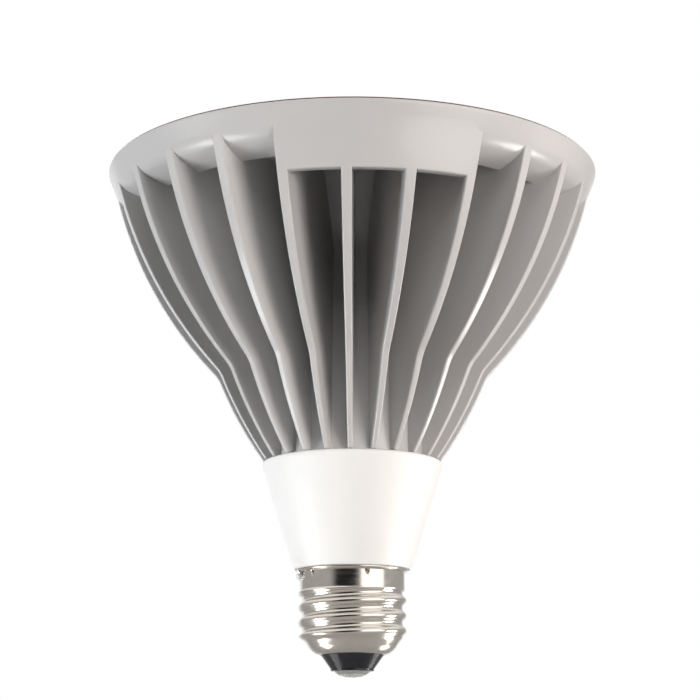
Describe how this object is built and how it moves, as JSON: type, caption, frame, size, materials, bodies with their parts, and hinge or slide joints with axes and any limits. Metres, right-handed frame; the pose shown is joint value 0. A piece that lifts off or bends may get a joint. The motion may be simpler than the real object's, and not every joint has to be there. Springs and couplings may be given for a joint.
{
  "type": "par spotlight bulb",
  "caption": "LED spotlight bulb with a cast finned heat sink, white conical neck, medium screw base and a flat clear front window over a reflector cup.",
  "frame": {"origin": "tip of the centre contact, on the lamp axis", "axes": "+Z along the lamp axis from the screw base to the front; the bare panel between fins looks along -Y"},
  "size_m": [0.122, 0.122, 0.1242],
  "materials": {
    "sink_paint": "semi-gloss light grey paint",
    "neck_white": "satin white moulding",
    "shell_nickel": "bright nickel plate",
    "insulator_black": "glossy black",
    "contact_brass": "tinned",
    "solder": "bright rough solder",
    "window_clear": "clear gloss",
    "seal_black": "matte",
    "reflector_bright": "metallised",
    "substrate": "white coated",
    "phosphor": "yellow silicone",
    "holder_white": "satin",
    "screw_steel": "zinc plate",
    "pad_grey": "matte",
    "sleeve_white": "satin",
    "board_green": "solder mask",
    "ferrite": "matte",
    "winding_tape": "yellow tape",
    "can_sleeve": "black film",
    "film_box": "moulded",
    "chip_black": "matte",
    "fuse_body": "lacquer",
    "wire_black": "wire skin",
    "wire_white": "wire skin",
    "wire_red": "wire skin"
  },
  "bodies": {
    "root": {"heat_sink": "sink_paint", "neck_housing": "neck_white", "driver_sleeve": "sleeve_white", "screw_shell": "shell_nickel", "base_insulator": "insulator_black", "centre_contact": "contact_brass", "tip_solder": "solder", "side_solder": "solder", "front_lens": "window_clear", "lens_seal": "seal_black", "reflector": "reflector_bright", "cob_substrate": "substrate", "cob_phosphor": "phosphor", "cob_holder": "holder_white", "holder_screws": "screw_steel", "thermal_pad": "pad_grey", "driver_board": "board_green", "transformer_core": "ferrite", "transformer_winding": "winding_tape", "bulk_capacitor": "can_sleeve", "output_capacitor": "can_sleeve", "film_capacitor": "film_box", "input_choke": "ferrite", "fuse_resistor": "fuse_body", "bridge_rectifier": "chip_black", "switch_transistor": "chip_black", "controller_chip": "chip_black", "line_lead": "wire_black", "neutral_lead": "wire_white", "led_lead_plus": "wire_red", "led_lead_minus": "wire_black"}
  },
  "joints": []
}
